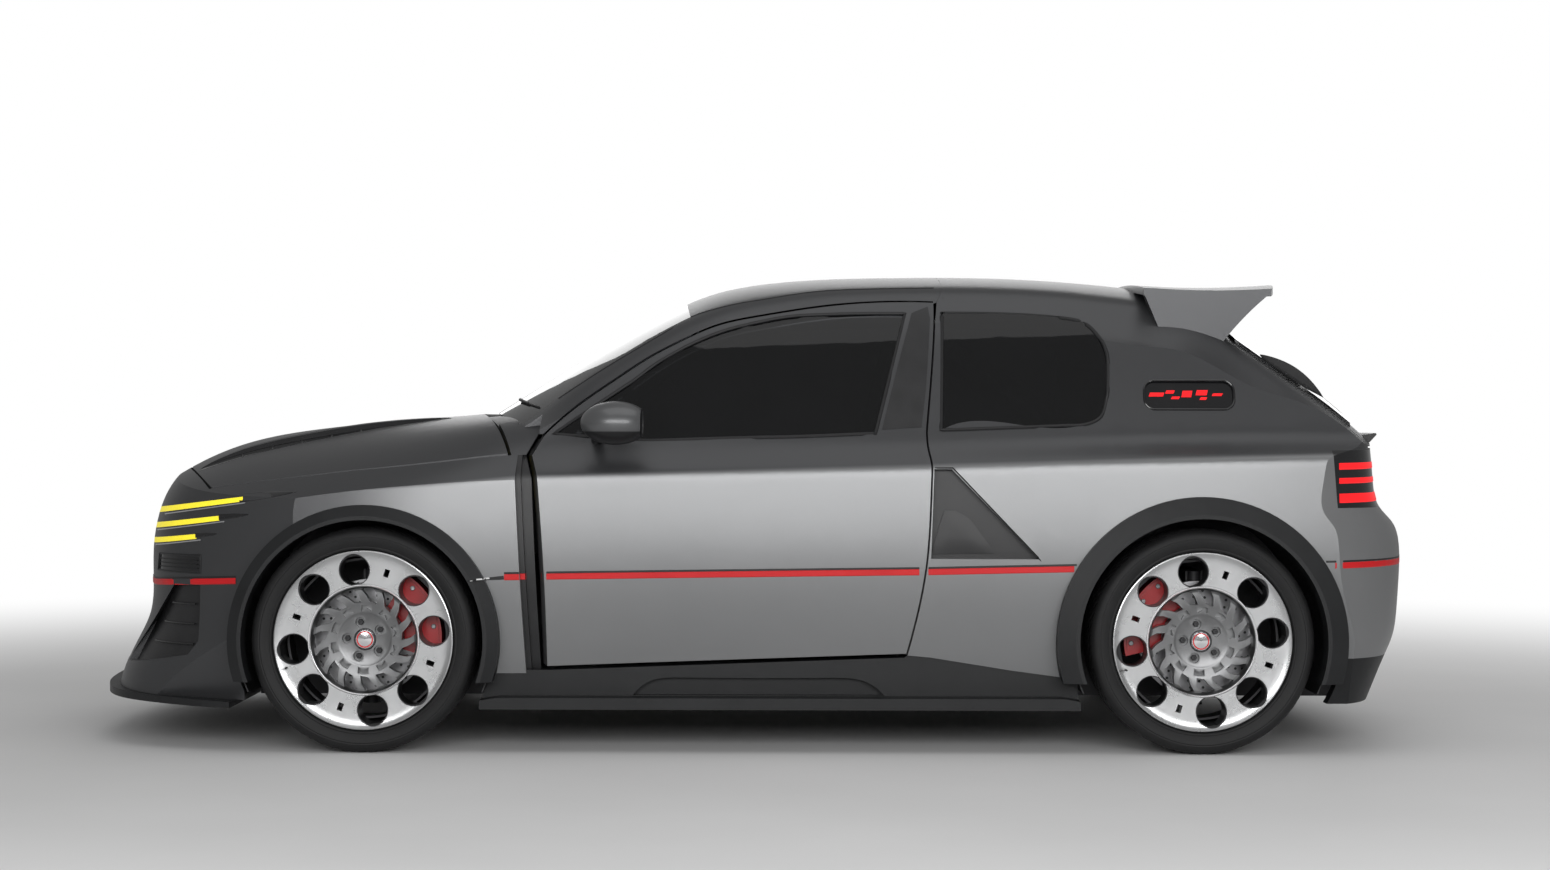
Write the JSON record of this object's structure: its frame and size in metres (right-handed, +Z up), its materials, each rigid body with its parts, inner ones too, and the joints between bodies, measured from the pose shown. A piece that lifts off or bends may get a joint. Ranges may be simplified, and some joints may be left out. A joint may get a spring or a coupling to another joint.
{
  "type": "rally car",
  "caption": "Wide-bodied hatchback rally car with roof wing, opening doors, bonnet and tailgate, steered front wheels and wheels that spin.",
  "frame": {"origin": "centre of the footprint on the ground, halfway along the overall length", "axes": "+X to the rear of the car, +Y to its right side, +Z up"},
  "size_m": [4.1655, 2.018, 1.4885],
  "materials": {
    "body_paint": "satin",
    "trim": "matte",
    "black_gloss": "gloss",
    "glass": "gloss",
    "tyre": "matte",
    "rim": "satin",
    "disc": "satin",
    "caliper": "gloss",
    "steel": "satin",
    "structure": "matte",
    "lamp_yellow": "gloss",
    "lamp_red": "gloss",
    "seat_fabric": "matte"
  },
  "bodies": {
    "body": {"floor_pan": "structure", "engine_block": "steel", "exhaust": "steel", "front_bumper": "body_paint", "front_grille": "trim", "front_splitter": "trim", "front_fenders": "body_paint", "side_vents": "trim", "cowl": "trim", "windscreen": "glass", "roof_frame": "body_paint", "rear_body": "body_paint", "quarter_glass": "glass", "roof_wing": "body_paint", "rear_bumper": "body_paint", "rear_diffuser": "trim", "headlamps": "lamp_yellow", "tail_lamps": "lamp_red", "side_skirts": "trim", "wheel_flares": "trim", "arch_liners": "trim", "bumper_beams": "structure", "seats": "seat_fabric", "roll_cage": "structure", "dashboard": "trim", "steering_wheel": "black_gloss", "front_suspension": "structure", "rear_suspension": "structure", "calipers_rear": "caliper"},
    "bonnet": {"bonnet": "body_paint"},
    "tailgate": {"tailgate": "body_paint", "tailgate_glass": "glass"},
    "door_left": {"door_left": "body_paint", "door_glass_left": "glass", "mirror_left": "body_paint"},
    "knuckle_left": {"knuckle_left": "steel", "caliper_front_left": "caliper"},
    "wheel_front_left": {"tyre_front_left": "tyre", "rim_front_left": "rim", "brake_disc_front_left": "disc"},
    "wheel_rear_left": {"tyre_rear_left": "tyre", "rim_rear_left": "rim", "brake_disc_rear_left": "disc"},
    "door_right": {"door_right": "body_paint", "door_glass_right": "glass", "mirror_right": "body_paint"},
    "knuckle_right": {"knuckle_right": "steel", "caliper_front_right": "caliper"},
    "wheel_front_right": {"tyre_front_right": "tyre", "rim_front_right": "rim", "brake_disc_front_right": "disc"},
    "wheel_rear_right": {"tyre_rear_right": "tyre", "rim_rear_right": "rim", "brake_disc_rear_right": "disc"}
  },
  "joints": [
    {"name": "door_left_hinge", "type": "hinge", "parent": "body", "child": "door_left", "pos_m": [-0.64, -0.85, 0.6], "axis": [0, 0, -1], "range_deg": [0, 65]},
    {"name": "door_right_hinge", "type": "hinge", "parent": "body", "child": "door_right", "pos_m": [-0.64, 0.85, 0.6], "axis": [0, 0, 1], "range_deg": [0, 65]},
    {"name": "bonnet_hinge", "type": "hinge", "parent": "body", "child": "bonnet", "pos_m": [-0.7, 0, 1.035], "axis": [0, 1, 0], "range_deg": [0, 45]},
    {"name": "tailgate_hinge", "type": "hinge", "parent": "body", "child": "tailgate", "pos_m": [1.502, 0, 1.345], "axis": [0, -1, 0], "range_deg": [0, 35]},
    {"name": "steer_left", "type": "hinge", "parent": "body", "child": "knuckle_left", "pos_m": [-1.163, -0.7325, 0.341], "axis": [0, 0, 1], "range_deg": [-30, 30]},
    {"name": "steer_right", "type": "hinge", "parent": "body", "child": "knuckle_right", "pos_m": [-1.163, 0.7325, 0.341], "axis": [0, 0, 1], "range_deg": [-30, 30]},
    {"name": "spin_front_left", "type": "hinge", "parent": "knuckle_left", "child": "wheel_front_left", "pos_m": [-1.163, -0.7925, 0.341], "axis": [0, 1, 0], "continuous": true},
    {"name": "spin_front_right", "type": "hinge", "parent": "knuckle_right", "child": "wheel_front_right", "pos_m": [-1.163, 0.7925, 0.341], "axis": [0, 1, 0], "continuous": true},
    {"name": "spin_rear_left", "type": "hinge", "parent": "body", "child": "wheel_rear_left", "pos_m": [1.377, -0.7925, 0.341], "axis": [0, 1, 0], "continuous": true},
    {"name": "spin_rear_right", "type": "hinge", "parent": "body", "child": "wheel_rear_right", "pos_m": [1.377, 0.7925, 0.341], "axis": [0, 1, 0], "continuous": true}
  ],
  "couplings": [
    {"joint": "steer_right", "follows": "steer_left", "ratio": 1}
  ]
}
